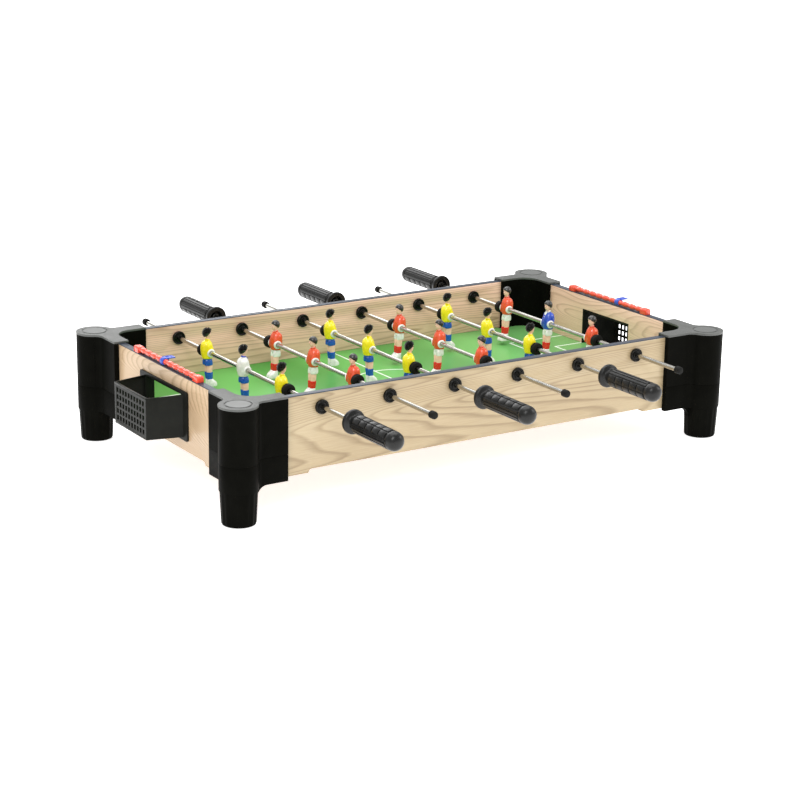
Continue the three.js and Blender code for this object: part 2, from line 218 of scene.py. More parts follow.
def turned(name, profile, sides=40):
    """A lathe profile of (radius, height) pairs; one that ends on its start has a bore."""
    levels = [(height, 0, 0, radius, radius) for radius, height in profile]
    return tower(name, levels, sides, ring=profile[0] == profile[-1])


def modified(piece, kind, **settings):
    """Adds a modifier and applies it."""
    hold(piece)
    made = piece.modifiers.new(kind.title(), kind)
    for key, value in settings.items():
        setattr(made, key, value)
    bpy.ops.object.modifier_apply(modifier=made.name)
    return piece


def cut(piece, *tools):
    for tool in tools:
        modified(piece, "BOOLEAN", operation="DIFFERENCE", object=tool, solver="EXACT")
        bpy.data.objects.remove(tool)
    return piece


def fuse(piece, *others):
    for other in others:
        modified(piece, "BOOLEAN", operation="UNION", object=other, solver="EXACT")
        bpy.data.objects.remove(other)
    return piece


def join(*pieces):
    """Several shells made one object."""
    hold(pieces[0])
    for piece in pieces:
        piece.select_set(True)
    bpy.ops.object.join()
    return pieces[0]


def rounded(piece, width=0.6, segments=2, angle=35):
    """Takes the sharp edges off and shades the rest smooth."""
    modified(
        piece,
        "BEVEL",
        width=width * MM,
        segments=segments,
        limit_method="ANGLE",
        angle_limit=math.radians(angle),
    )
    return smooth(piece)


def smooth(piece, angle=40):
    hold(piece)
    bpy.ops.object.shade_smooth_by_angle(angle=math.radians(angle))
    return piece


def soft(piece, levels=1):
    modified(piece, "SUBSURF", levels=levels, render_levels=levels)
    hold(piece)
    bpy.ops.object.shade_smooth()
    return piece


def coat(piece, *materials):
    piece.data.materials.clear()
    for material in materials:
        piece.data.materials.append(material)
    return piece


def fit(piece, body, slot, *nodes):
    """Gives a finished piece its body and hides the imported solids it stands for; the slot argument
    is not used.
    """
    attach(piece, body)
    if nodes:
        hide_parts(*nodes)
    return piece


# ---------------------------------------------------------------- finishes
class Finish:
    """A node material with one Principled shader; patterns read Object coordinates, in metres."""

    def __init__(self, name, color, roughness, metallic=0.0, specular=0.5, coat_weight=0.0):
        self.material = bpy.data.materials.new(name)
        self.material.use_nodes = True
        self.tree = self.material.node_tree
        self.shader = self.tree.nodes["Principled BSDF"]
        self.shader.inputs["Base Color"].default_value = (*color, 1)
        self.shader.inputs["Roughness"].default_value = roughness
        self.shader.inputs["Metallic"].default_value = metallic
        self.shader.inputs["Specular IOR Level"].default_value = specular
        self.shader.inputs["Coat Weight"].default_value = coat_weight
        self.shader.inputs["Coat Roughness"].default_value = 0.12
        self.place = self.node("TexCoord").outputs["Object"]

    def node(self, kind, inputs=None, **settings):
        made = self.tree.nodes.new("ShaderNode" + kind)
        for key, value in settings.items():
            setattr(made, key, value)
        for key, value in (inputs or {}).items():
            if isinstance(value, bpy.types.NodeSocket):
                self.tree.links.new(value, made.inputs[key])
            else:
                made.inputs[key].default_value = value
        return made

    def link(self, socket, name):
        self.tree.links.new(socket, self.shader.inputs[name])

    def calc(self, operation, a, b=0.0, c=None):
        inputs = {0: a, 1: b}
        if c is not None:
            inputs[2] = c
        return self.node("Math", inputs, operation=operation).outputs[0]

    def mapped(self, scale=(1, 1, 1), location=(0, 0, 0), rotation=(0, 0, 0)):
        turn = [math.radians(angle) for angle in rotation]
        inputs = {"Vector": self.place, "Scale": scale, "Location": location, "Rotation": turn}
        return self.node("Mapping", inputs).outputs[0]

    def noise(self, vector, scale, detail=3.0, roughness=0.5, distortion=0.0):
        inputs = {
            "Vector": vector,
            "Scale": scale,
            "Detail": detail,
            "Roughness": roughness,
            "Distortion": distortion,
        }
        return self.node("TexNoise", inputs).outputs[0]

    def ramp(self, factor, *stops):
        made = self.node("ValToRGB", {"Fac": factor})
        elements = made.color_ramp.elements
        while len(elements) < len(stops):
            elements.new(0.5)
        for element, (position, color) in zip(elements, stops):
            element.position = position
            element.color = color if len(color) == 4 else (*color, 1)
        return made.outputs[0]

    def spread(self, value, low, high, new_low=0.0, new_high=1.0):
        inputs = {0: value, 1: low, 2: high, 3: new_low, 4: new_high}
        return self.node("MapRange", inputs).outputs[0]

    def mix(self, factor, a, b, blend="MIX"):
        made = self.node("Mix", data_type="RGBA", blend_type=blend)
        for index, value in ((0, factor), (6, a), (7, b)):
            if isinstance(value, bpy.types.NodeSocket):
                self.tree.links.new(value, made.inputs[index])
            else:
                made.inputs[index].default_value = (*value, 1) if index else value
        return made.outputs[2]

    def bump(self, height, distance, strength=1.0):
        inputs = {"Height": height, "Distance": distance, "Strength": strength}
        self.link(self.node("Bump", inputs).outputs[0], "Normal")


def moulded(
    name, color, roughness, specular=0.5, variation=0.12, grain=0.00004, coat_weight=0.0
):
    """Injection-moulded plastic: faint blotches, a fine pebbled skin and uneven gloss."""
    f = Finish(name, color, roughness, specular=specular, coat_weight=coat_weight)
    blotch = f.noise(f.place, 60, 3)
    shade = [min(1, channel * (1 + variation)) for channel in color]
    dark = [channel * (1 - variation) for channel in color]
    f.link(f.ramp(blotch, (0.35, dark), (0.65, shade)), "Base Color")
    f.link(f.spread(blotch, 0.3, 0.7, roughness * 0.88, roughness * 1.12), "Roughness")
    if grain:
        f.bump(f.noise(f.place, 2600, 2), grain)
    return f.material


def oak(name, along, seed, outer, inner):
    """Printed ash-grain veneer: pale honey ground, contour-like growth rings and fine pores.

    The outer and the inner faces of a board get different tints, partly the veneer's own tone and
    partly painted light: the inner tint lifts and warms the shade inside the walls.
    """
    f = Finish(name, (0.62, 0.46, 0.28), 0.42, specular=0.45, coat_weight=0.15)
    spin = (0, 0, 0) if along == "X" else (0, 0, 90)
    grain = f.mapped(scale=(0.26, 1.0, 5.0), location=seed, rotation=spin)
    field = f.noise(grain, 1.5, 1.5, 0.42, 0.12)
    wander = f.noise(f.mapped((4, 4, 34), seed, spin), 1.0, 3)
    height = f.calc("MULTIPLY_ADD", field, 104.0, f.calc("MULTIPLY", wander, 1.4))
    ring = f.calc("FRACT", height)
    line = f.ramp(ring, (0.0, (0,) * 3), (0.56, (0.12,) * 3), (0.86, (1,) * 3), (1.0, (0.08,) * 3))
    broad = f.noise(f.mapped((2.2, 2.2, 9), seed, spin), 1.6, 2)
    ground = f.ramp(broad, (0.3, (0.60, 0.460, 0.300)), (0.7, (0.68, 0.545, 0.375)))
    dark = f.ramp(broad, (0.3, (0.300, 0.205, 0.115)), (0.7, (0.390, 0.280, 0.165)))
    weight = f.calc("MULTIPLY", line, f.spread(broad, 0.3, 0.7, 0.78, 0.50))
    tone = f.mix(weight, ground, dark)
    pores = f.noise(f.mapped((22, 22, 900), seed, spin), 1.0, 3, 0.6)
    streak = f.ramp(pores, (0.42, (1,) * 3), (0.66, (0.86, 0.82, 0.76)))
    across = f.node("SeparateXYZ", {0: f.place}).outputs[1 if along == "X" else 0]
    face = (INNER_Y if along == "X" else INNER_X) + 1
    inside = f.calc("LESS_THAN", f.calc("ABSOLUTE", across), face * MM)
    printed = f.mix(1.0, tone, f.mix(inside, outer, inner), "MULTIPLY")
    f.link(f.mix(0.7, printed, streak, "MULTIPLY"), "Base Color")
    f.link(f.spread(line, 0, 1, 0.40, 0.52), "Roughness")
    f.bump(f.calc("MULTIPLY_ADD", pores, 0.6, line), 0.00005, 0.5)
    return f.material


def playfield_print():
    """Green printed pitch with mowing bands, white lines and raw board below; paler towards +X,
    which is painted light.
    """
    f = Finish("printed_pitch", (0.10, 0.42, 0.08), 0.34, specular=0.4)
    split = f.node("SeparateXYZ", {0: f.place})
    x, y, z = split.outputs
    x_mm, y_mm = f.calc("MULTIPLY", x, 1000.0), f.calc("MULTIPLY", y, 1000.0)
    wobble = f.noise(f.place, 9, 2)
    phase = f.calc("MULTIPLY", f.calc("ADD", x_mm, 26.0), 0.0272)
    sway = f.calc("MULTIPLY_ADD", wobble, 0.9, phase)
    stripe = f.calc("SINE", f.calc("ADD", sway, f.calc("MULTIPLY", y_mm, 0.004)))
    band = f.spread(stripe, -0.7, 0.7)
    blades = f.noise(f.mapped((1, 6, 1)), 420, 3, 0.7)
    dark = f.ramp(blades, (0.3, (0.038, 0.250, 0.032)), (0.7, (0.056, 0.300, 0.046)))
    light = f.ramp(blades, (0.3, (0.085, 0.375, 0.068)), (0.7, (0.115, 0.430, 0.090)))
    # Painted light: the green is mixed towards a pale tone along +X.
    painted_light_towards_x = f.spread(x_mm, 0.0, 420.0, 0.0, 0.22)
    green = f.mix(painted_light_towards_x, f.mix(band, dark, light), (0.46, 0.66, 0.36))
    ax, ay = f.calc("ABSOLUTE", x_mm), f.calc("ABSOLUTE", y_mm)
    far = f.calc("SQRT", f.calc("ADD", f.calc("POWER", ax, 2.0), f.calc("POWER", ay, 2.0)))

    def stroke(value, at):
        return f.calc("COMPARE", value, float(at), 1.5)

    def goal_box(box_x, box_y):
        front = f.calc("MULTIPLY", stroke(ax, box_x), f.calc("LESS_THAN", ay, box_y + 1.5))
        side = f.calc("MULTIPLY", stroke(ay, box_y), f.calc("GREATER_THAN", ax, box_x - 1.5))
        return f.calc("MAXIMUM", front, side)

    lines = f.calc("MAXIMUM", stroke(x_mm, 0), stroke(far, 82))
    for more in (goal_box(298, 118), goal_box(353, 62)):
        lines = f.calc("MAXIMUM", lines, more)
    lines = f.calc("MAXIMUM", lines, f.calc("LESS_THAN", far, 3.5))
    printed = f.mix(lines, green, (0.78, 0.84, 0.76))
    fibre = f.ramp(f.noise(f.place, 900, 3), (0.3, (0.26, 0.17, 0.10)), (0.7, (0.36, 0.25, 0.15)))
    below = f.calc("LESS_THAN", z, (FIELD_TOP - 0.5) * MM)
    f.link(f.mix(below, printed, fibre), "Base Color")
    f.link(f.spread(blades, 0.3, 0.7, 0.30, 0.40), "Roughness")
    f.bump(blades, 0.00003, 0.4)
    return f.material


def chrome():
    """Plated steel rod with faint drawing marks round it."""
    f = Finish("plated_steel", (0.47, 0.46, 0.42), 0.2, metallic=1.0)
    marks = f.noise(f.mapped((20, 60, 20)), 1.0, 3)
    f.link(f.spread(marks, 0.3, 0.7, 0.15, 0.22), "Roughness")
    f.link(f.ramp(marks, (0.3, (0.44, 0.43, 0.39)), (0.7, (0.50, 0.49, 0.45))), "Base Color")
    f.bump(f.noise(f.mapped((600, 3000, 600)), 1.0, 2), 0.000002, 0.3)
    return f.material


def enamel(name, color, roughness=0.24):
    """Hand-dipped paint on small moulded figures: thin spots, pooled shade and a glossy skin."""
    f = Finish(name, color, roughness, specular=0.5, coat_weight=0.5)
    pool = f.noise(f.place, 190, 2)
    thin = [min(1, channel * 1.10 + 0.01) for channel in color]
    deep = [channel * 0.86 for channel in color]
    f.link(f.ramp(pool, (0.3, deep), (0.55, color), (0.8, thin)), "Base Color")
    f.link(f.spread(pool, 0.3, 0.7, roughness * 0.85, roughness * 1.2), "Roughness")
    f.bump(f.noise(f.place, 700, 2), 0.00006, 0.5)
    return f.material


# Board tints: HONEY is the outer veneer tone; the lighter, pinker inner tint is painted light on the
# shaded inner faces, and the left board's own lighter outer tint is painted light too.
HONEY, INNER_PAINTED_LIGHT, LEFT_PAINTED_LIGHT = (0.70, 0.70, 0.63), (1.36, 1.17, 1.32), (0.92, 0.85, 0.79)
OAK_FRONT = oak("oak_veneer_front", "X", (0.30, 0.0, 0.12), HONEY, INNER_PAINTED_LIGHT)
OAK_BACK = oak("oak_veneer_back", "X", (2.1, 0.4, 0.55), HONEY, INNER_PAINTED_LIGHT)
OAK_LEFT = oak("oak_veneer_left", "Y", (0.7, 1.3, 0.2), LEFT_PAINTED_LIGHT, INNER_PAINTED_LIGHT)
OAK_RIGHT = oak("oak_veneer_right", "Y", (3.3, 0.6, 0.9), HONEY, INNER_PAINTED_LIGHT)
PITCH = playfield_print()
CHROME = chrome()
EDGE_BAND = moulded("navy_edge_band", (0.027, 0.037, 0.056), 0.34, 0.30, 0.10, 0.00002)
CASTING = moulded("black_casting", (0.0034, 0.0034, 0.0026), 0.40, 0.012)
PLATE = moulded("grained_plate", (0.082, 0.085, 0.080), 0.42, 0.4, 0.12, 0.00012)
DISC = moulded("grey_disc", (0.090, 0.094, 0.089), 0.34, 0.4, 0.08)
GRIP = moulded("grip_black", (0.008, 0.008, 0.0075), 0.30, 0.28, 0.15, 0.00006)
RUBBER = moulded("rubber_black", (0.008, 0.008, 0.007), 0.62, 0.12)
BUSHING = moulded("bushing_black", (0.008, 0.008, 0.007), 0.28, 0.15)
BASKET = moulded("basket_black", (0.0105, 0.0110, 0.0090), 0.34, 0.08)
SCORE_RED = moulded("score_red", (0.80, 0.075, 0.035), 0.2, 0.6, 0.06, 0.00001, 0.4)
SCORE_BLUE = moulded("score_blue", (0.040, 0.085, 0.50), 0.28, 0.5, 0.06)
YELLOW = enamel("shirt_yellow", (0.95, 0.80, 0.010))
RED = enamel("shirt_red", (0.80, 0.085, 0.022))
BLUE = enamel("cloth_blue", (0.004, 0.085, 0.46))
KEEPER_BLUE = enamel("shirt_blue", (0.022, 0.075, 0.52))
WHITE = enamel("cloth_white", (0.84, 0.84, 0.80))
SKIN = enamel("skin_tone", (0.97, 0.59, 0.46), 0.34)
SOCK_RED = enamel("sock_red", (0.72, 0.014, 0.010))
HAIR = enamel("hair_black", (0.005, 0.005, 0.004), 0.38)


# ---------------------------------------------------------------- walls and playfield
def raised_edge_tool(low, high):
    """A long bar whose upper edges are rounded; it lifts the middle of a board's lower edge."""
    tool = box("tool", low, high)
    choose(tool, "EDGE", lambda e: all(abs(v.co.z - high[2] * MM) < 1e-6 for v in e.verts))
    bpy.ops.mesh.bevel(offset=5.4 * MM, segments=6, affect="EDGES")
    done()
    return tool


def long_wall():
    """The back board; the front one is its half turn."""
    top = WALL_TOP - BAND
    board = box("wall_board", (-LONG_HALF, INNER_Y, WALL_LOW), (LONG_HALF, OUTER_Y, top))
    start, end = (-308.5, INNER_Y - 9, WALL_LOW - 9), (308.5, OUTER_Y + 9, WALL_LOW + 5.5)
    cut(board, raised_edge_tool(start, end))
    low, high = FIELD_LOW - SLOT_FIT, FIELD_TOP + SLOT_FIT
    cut(board, box("tool", (-400, INNER_Y - 1, low), (400, INNER_Y + 5, high)))
    for i in range(RODS):
        hole = turned("tool", [(7.6, -20), (7.6, 20)], 32)
        cut(board, place(hole, (rod_x(i), WALL_MID, ROD_Z), (90, 0, 0)))
    return rounded(board, 0.5, 2)


def end_wall():
    """The right-hand board with the hole of its goal."""
    top = WALL_TOP - BAND
    board = box("end_board", (INNER_X, -END_HALF, WALL_LOW), (OUTER_X, END_HALF, top))
    start, end = (INNER_X - 9, -127, WALL_LOW - 9), (OUTER_X + 9, 127, WALL_LOW + 5.5)
    cut(board, raised_edge_tool(start, end))
    low, high = FIELD_LOW - SLOT_FIT, FIELD_TOP + SLOT_FIT
    cut(board, box("tool", (INNER_X - 1, -210, low), (INNER_X + 5, 210, high)))
    cut(board, box("tool", (INNER_X - 9, -62, 84.2), (OUTER_X + 9, 62, 148)))
    return rounded(board, 0.5, 2)


def edge_band(name, low, high):
    """Glossy strip glued on top of a board, its long edges rolled over."""
    strip = box(name, low, high)
    choose(strip, "EDGE", lambda e: all(v.co.z > (WALL_TOP - 0.1) * MM for v in e.verts))
    bpy.ops.mesh.bevel(offset=0.7 * MM, segments=3, affect="EDGES")
    done()
    return smooth(strip)


back = coat(long_wall(), OAK_BACK)
front = coat(twin(back, "wall_front_board", turn=(0, 0, 180)), OAK_FRONT)
back.name = "wall_back_board"
right = coat(end_wall(), OAK_RIGHT)
left = coat(twin(right, "wall_left_board", turn=(0, 0, 180)), OAK_LEFT)
right.name = "wall_right_board"
for board, side in ((back, "back"), (front, "front"), (right, "right"), (left, "left")):
    fit(board, "table", "oak_board", "wall_" + side)

band_low = WALL_TOP - BAND
band = edge_band("band_back", (-LONG_HALF, INNER_Y, band_low), (LONG_HALF, OUTER_Y, WALL_TOP))
ends = edge_band("band_right", (INNER_X, -END_HALF, band_low), (OUTER_X, END_HALF, WALL_TOP))
for strip in (
    band,
    ends,
    twin(band, "band_front", turn=(0, 0, 180)),
    twin(ends, "band_left", turn=(0, 0, 180)),
):
    fit(coat(strip, EDGE_BAND), "table", "oak_board")


def playfield():
    field = box("pitch", (-404.6, -212.7, FIELD_LOW), (404.6, 212.7, FIELD_TOP))
    choose(field, "EDGE", lambda e: abs(e.verts[0].co.z - e.verts[1].co.z) > 0.001)
    bpy.ops.mesh.bevel(offset=30.3 * MM, segments=10, affect="EDGES")
    done()
    sides = box("tool", (-342.9, -222.2, FIELD_LOW), (342.9, 222.2, FIELD_TOP))
    ends = box("tool", (-414.4, -146.8, FIELD_LOW), (414.4, 146.8, FIELD_TOP))
    fuse(field, sides, ends)
    return rounded(field, 0.25, 1)


fit(coat(playfield(), PITCH), "table", "playfield_green", "playfield")


# ---------------------------------------------------------------- bushings
def bushing():
    """Nylon sleeve through the board: a dished flange on each face, a lip round the bore."""
    face = [(4.9, 10.0), (5.6, 9.6), (6.1, 8.0), (7.4, 7.9), (9.1, 10.1), (9.9, 10.5), (10.6, 9.8)]
    profile = [(ROD_BORE, 9.4), (4.3, 10.0), *face, (10.7, 9.0), (10.7, 6.1), (7.3, 6.1)]
    mirrored = [(r, -h) for r, h in reversed(profile)]
    return smooth(turned("bushing", [*profile, *mirrored, profile[0]], 48), 30)


sleeve = bushing()
for i in range(RODS):
    for side, y in (("front", -WALL_MID), ("back", WALL_MID)):
        made = twin(sleeve, f"bushing_{i + 1}_{side}", at=(rod_x(i), y, ROD_Z), turn=(90, 0, 0))
        fit(coat(made, BUSHING), "table", "black_plastic")
bpy.data.objects.remove(sleeve)


# ---------------------------------------------------------------- corner legs
def notch_filler(radius, fillet, low, high):
    """Fills the two notches between a round leg and its outer wings with a hollow curve."""
    made = []
    out = radius + fillet
    for along_x, face in ((True, WING_OUTER_Y), (False, WING_OUTER_X)):
        centre, other = (LEG_Y, LEG_X) if along_x else (LEG_X, LEG_Y)
        rise = face + fillet - centre
        run = other - math.sqrt(out**2 - rise**2)
        touch_run = other - (other - run) * radius / out
        touch_face = centre + rise * radius / out
        if along_x:
            corners = (run, face - 3, low), (touch_run + 3, touch_face, high)
            middle = (run, face + fillet, (low + high) / 2)
        else:
            corners = (face - 3, run, low), (touch_face, touch_run + 3, high)
            middle = (face + fillet, run, (low + high) / 2)
        filler = box("filler", *corners)
        half = (high - low) / 2 + 2
        cutter = turned("tool", [(fillet, -half), (fillet, half)], 40)
        made.append(cut(filler, place(cutter, middle)))
    return made


def leg_block(name, radius, fillet, low, high):
    """Leg, wings and corner post between two heights, in the back right corner."""
    leg = turned(name, [(radius, low), (radius, high)], 96)
    place(leg, (LEG_X, LEG_Y, 0))
    wings = box("wing", (346.8, WING_INNER_Y, low), (LEG_X, WING_OUTER_Y, high))
    fuse(wings, box("wing", (WING_INNER_X, 154.6, low), (WING_OUTER_X, LEG_Y, high)))
    inner = Vector((WING_INNER_X, WING_INNER_Y)) * MM
    choose(wings, "EDGE", lambda e: all((v.co.xy - inner).length < 1e-4 for v in e.verts))
    bpy.ops.mesh.bevel(offset=30 * MM, segments=12, affect="EDGES")
    done()
    fuse(leg, wings, *notch_filler(radius, fillet, low, high))
    return leg


def casting(name, low, high):
    """The leg block with its slots for the boards."""
    made = leg_block(name, LEG_RADIUS, 12, low, high)
    cut(made, box("tool", (300, 217.2, low - 5), (395.6, 229.8, high + 5)))
    cut(made, box("tool", (409.1, 100, low - 5), (421.7, 205.4, high + 5)))
    return made


def wing_gusset():
    """Hollow curve under the long wing, where it runs down into the foot."""
    web = box("gusset", (381.2, 229, 34.7), (400, 237.9, LEG_LOW + 1))
    cutter = turned("tool", [(16, -12), (16, 12)], 48)
    return cut(web, place(cutter, (381, 234, 34.5), (90, 0, 0)))


def foot():
    """Tapered foot with shallow flutes and a rolled lower rim."""
    profile = [(21.5, 0.8), (24.2, 1.0), (25.0, 2.2), (25.4, 8), (27.1, 46), (27.3, LEG_LOW)]
    made = turned("foot", profile, 96)
    for offset, share in ((1, 0.985), (2, 0.972), (3, 0.972), (4, 0.985)):
        choose(
            made,
            "VERT",
            lambda v: 1.1 * MM < v.co.z < 47 * MM
            and round(math.degrees(math.atan2(v.co.y, v.co.x)) / FACET) % 6 == offset,
        )
        bpy.ops.transform.resize(value=(share, share, 1), center_override=(0, 0, 0))
        done()
    return smooth(place(made, (LEG_X, LEG_Y, 0)), 50)


def top_plate():
    """Flat boomerang plate with a round groove for its inlay."""
    plate = leg_block("plate", PLATE_RADIUS, 13, PLATE_LOW, PLATE_TOP)
    groove = [(18.4, 1), (20.2, 1), (20.2, -0.9), (18.4, -0.9), (18.4, 1)]
    cut(plate, place(turned("tool", groove, 72), (LEG_X, LEG_Y, PLATE_TOP)))
    return rounded(plate, 0.7, 3, 50)


def corner_set():
    """Every piece of the back right corner, with its finish."""
    lower = rounded(casting("casting_lower", LEG_LOW, SEAM_Z - 0.2), 0.5, 2, 50)
    upper = rounded(casting("casting_upper", SEAM_Z + 0.2, PLATE_LOW), 0.5, 2, 50)
    gusset = smooth(wing_gusset())
    disc = turned("disc", [(18.0, -0.6), (18.0, 0.15), (17.6, 0.35), (12, 0.45), (1, 0.45)], 72)
    pad = turned("pad", [(20.5, 1.6), (20.5, 0.4), (19.8, 0), (1, 0)], 48)
    return [
        (join(lower, gusset), CASTING),
        (upper, CASTING),
        (coat(top_plate(), PLATE), PLATE),
        (smooth(place(disc, (LEG_X, LEG_Y, PLATE_TOP)), 20), DISC),
        (foot(), CASTING),
        (smooth(place(pad, (LEG_X, LEG_Y, 0))), RUBBER),
    ]


CORNERS = {
    "back_right": (1, 1),
    "back_left": (-1, 1),
    "front_right": (1, -1),
    "front_left": (-1, -1),
}
master = corner_set()
for corner, (sx, sy) in CORNERS.items():
    for piece, material in master:
        made = twin(piece, f"{piece.name.split('.')[0]}_{corner}", scale=(sx, sy, 1))
        nodes = ["corner_" + corner] if piece.name.startswith("casting_upper") else []
        slot = "rubber" if piece.name.startswith("pad") else "black_plastic"
        fit(coat(made, material), "table", slot, *nodes)
for piece, material in master:
    bpy.data.objects.remove(piece)


# ---------------------------------------------------------------- goal baskets
def basket():
    """The right-hand basket: tapered box, grid front, flange and the liner through the board."""
    rim, low, back_x, front_x = 144.5, 81.0, 421.7, 478.2
    shell = box("goal_basket", (back_x, -65, low), (front_x, 65, rim))
    choose(shell, "VERT", lambda v: v.co.x > 0.45)
    bpy.ops.transform.resize(value=(1, 52.5 / 65, 1), center_override=(0.478, 0, 0.1))
    done()
    hollow = box("tool", (back_x + 2.5, -62.4, low + 2.5), (front_x + 9, 62.4, rim + 9))
    choose(hollow, "VERT", lambda v: v.co.x > 0.45)
    bpy.ops.transform.resize(value=(1, 47.9 / 62.4, 1), center_override=(0.478, 0, 0.1))
    done()
    cut(shell, hollow)
    clear()
    bpy.ops.mesh.primitive_grid_add(x_subdivisions=5, y_subdivisions=10, size=1)
    grid = named("grid")
    grid.scale = (0.0535, 0.095, 1)
    bpy.ops.object.transform_apply(scale=True)
    choose(grid, "FACE", lambda f: True)
    bpy.ops.mesh.inset(thickness=1.8 * MM, use_individual=True)
    bpy.ops.mesh.delete(type="FACE")
    done()
    modified(grid, "SOLIDIFY", thickness=2.2 * MM, offset=0)
    place(grid, turn=(0, 90, 0))
    place(grid, (front_x - 1.3, 0, (low + rim) / 2))
    frame_out = box("tool", (front_x - 2.5, -52.4, low), (front_x, 52.4, rim))
    cut(frame_out, box("tool", (front_x - 9, -46.9, low + 5.4), (front_x + 9, 46.9, rim - 5.4)))
    fuse(frame_out, box("tool", (front_x - 2.9, -52.3, rim - 2.2), (front_x + 0.5, 52.3, rim)))
    flange = box("flange", (back_x, -77, 76), (back_x + 2.5, 77, 151))
    choose(flange, "EDGE", lambda e: abs(e.verts[0].co.x - e.verts[1].co.x) > 0.001)
    bpy.ops.mesh.bevel(offset=4 * MM, segments=5, affect="EDGES")
    done()
    liner = box("liner", (INNER_X - 0.3, -61.7, 84.5), (back_x + 2, 61.7, 147.7))
    cut(liner, box("tool", (INNER_X - 2, -70, 80), (INNER_X + 5.3, 70, FIELD_TOP + SLOT_FIT)))
    fuse(shell, flange, liner)
    cut(shell, box("tool", (INNER_X - 3, -59, FIELD_TOP - 0.3), (back_x + 3.5, 59, 145)))
    fuse(shell, frame_out)
    rounded(shell, 0.45, 2, 50)
    rounded(grid, 0.3, 1, 50)
    return join(shell, grid)


goal = coat(basket(), BASKET)
goal.name = "basket_right"
other = coat(twin(goal, "basket_left", turn=(0, 0, 180)), BASKET)
fit(goal, "table", "black_plastic", "goal_basket_right")
fit(other, "table", "black_plastic", "goal_basket_left")


# ---------------------------------------------------------------- score bars
BAR_X = 415.4
BAR_Z = 177.3


def score_bar():
    """Red bar of ten beads between two end blocks, along Y at the origin."""
    half, pitch = 88.7, 17.74
    profile = [(4.2, -half - 3), (4.2, -half)]
    for i in range(10):
        start = -half + i * pitch
        end = start + pitch
        profile += [(3.0, start + 1.4), (3.7, start + 2.2), (4.2, start + 4.6)]
        profile += [(4.5, start + pitch / 2), (4.2, end - 4.6), (3.7, end - 2.2), (3.0, end - 1.4)]
    profile += [(4.2, half), (4.2, half + 3)]
    bar = place(turned("bar", profile, 32), turn=(90, 0, 0))
    blocks = []
    for side in (-1, 1):
        y0, y1 = sorted((side * half, side * (half + 15)))
        block = box("block", (-5.75, y0, -5.2), (5.75, y1, 4.6))
        choose(block, "EDGE", lambda e: all(v.co.z > 0.004 for v in e.verts))
        bpy.ops.mesh.bevel(offset=3.2 * MM, segments=5, affect="EDGES")
        done()
        blocks.append(rounded(block, 0.5, 2, 50))
    smooth(bar, 40)
    return join(bar, *blocks)


def score_slider():
    """Blue pointer: a clip round the bar with a flat square tab that has a sunk window."""
    profile = [
        (4.6, -4.5), (5.9, -4.5), (6.2, -4.1), (6.2, 4.1), (5.9, 4.5), (4.6, 4.5), (4.6, -4.5),
    ]
    ring = place(turned("ring", profile, 40), turn=(90, 0, 0))
    cut(ring, box("tool", (-9, -9, -9), (9, 9, -4.2)))
    tab = box("tab", (0, -6.5, 4.45), (15, 6.5, 6.2))
    choose(tab, "FACE", lambda f: f.normal.z > 0.9)
    bpy.ops.mesh.inset(thickness=2.4 * MM)
    bpy.ops.mesh.extrude_region_move(TRANSFORM_OT_translate={"value": (0, 0, -0.9 * MM)})
    done()
    cut(tab, place(turned("tool", [(4.7, -9), (4.7, 9)], 40), turn=(90, 0, 0)))
    rounded(tab, 0.35, 2, 50)
    return join(smooth(ring), tab)


bar, pointer = score_bar(), score_slider()
for side, x, y in (("left", -BAR_X, 11), ("right", BAR_X, -26)):
    made = twin(bar, "scorer_" + side, at=(x, 0, BAR_Z))
    fit(coat(made, SCORE_RED), "table", "score_red", "score_bar_" + side)
    made = twin(pointer, "pointer_tab_" + side, at=(x, y, BAR_Z))
    fit(coat(made, SCORE_BLUE), "pointer_" + side, "score_blue", "score_slider_" + side)
for piece in (bar, pointer):
    bpy.data.objects.remove(piece)


# ---------------------------------------------------------------- rods, caps, stop rings
def rod_tube():
    profile = [(3.2, -331), (3.5, -330.7), (3.5, 410.6), (3.2, 411)]
    return smooth(place(turned("rod", profile, 40), turn=(90, 0, 0)), 30)


def rod_cap():
    """Rounded black cap pressed over the rod's free end, at +Y."""
    profile = [
        (3.52, -337), (3.52, -330.6), (5.2, -330.5), (5.75, -331.0), (5.8, -332), (5.8, -337.5),
        (5.5, -339.6), (4.7, -340.8), (3.2, -341.3), (1, -341.5),
    ]
    return smooth(place(turned("cap", profile, 40), turn=(90, 0, 0)), 30)


def stop_ring():
    """Soft rubber washer with round shoulders, on the +Y side."""
    profile = [
        (ROD_BORE, 0.6), (4.4, 0), (8.8, 0), (9.7, 0.5), (10, 1.5), (10, 7.5), (9.7, 8.5),
        (8.8, 9), (4.4, 9), (ROD_BORE, 8.4), (ROD_BORE, 0.6),
    ]
    made = place(turned("stop", profile, 40), turn=(-90, 0, 0))
    return smooth(place(made, (0, STOP_START, 0)), 30)


# ---------------------------------------------------------------- grips
GRIP_ROWS = [19 + i * 16.6 for i in range(5)]
BLOCK = 14.6


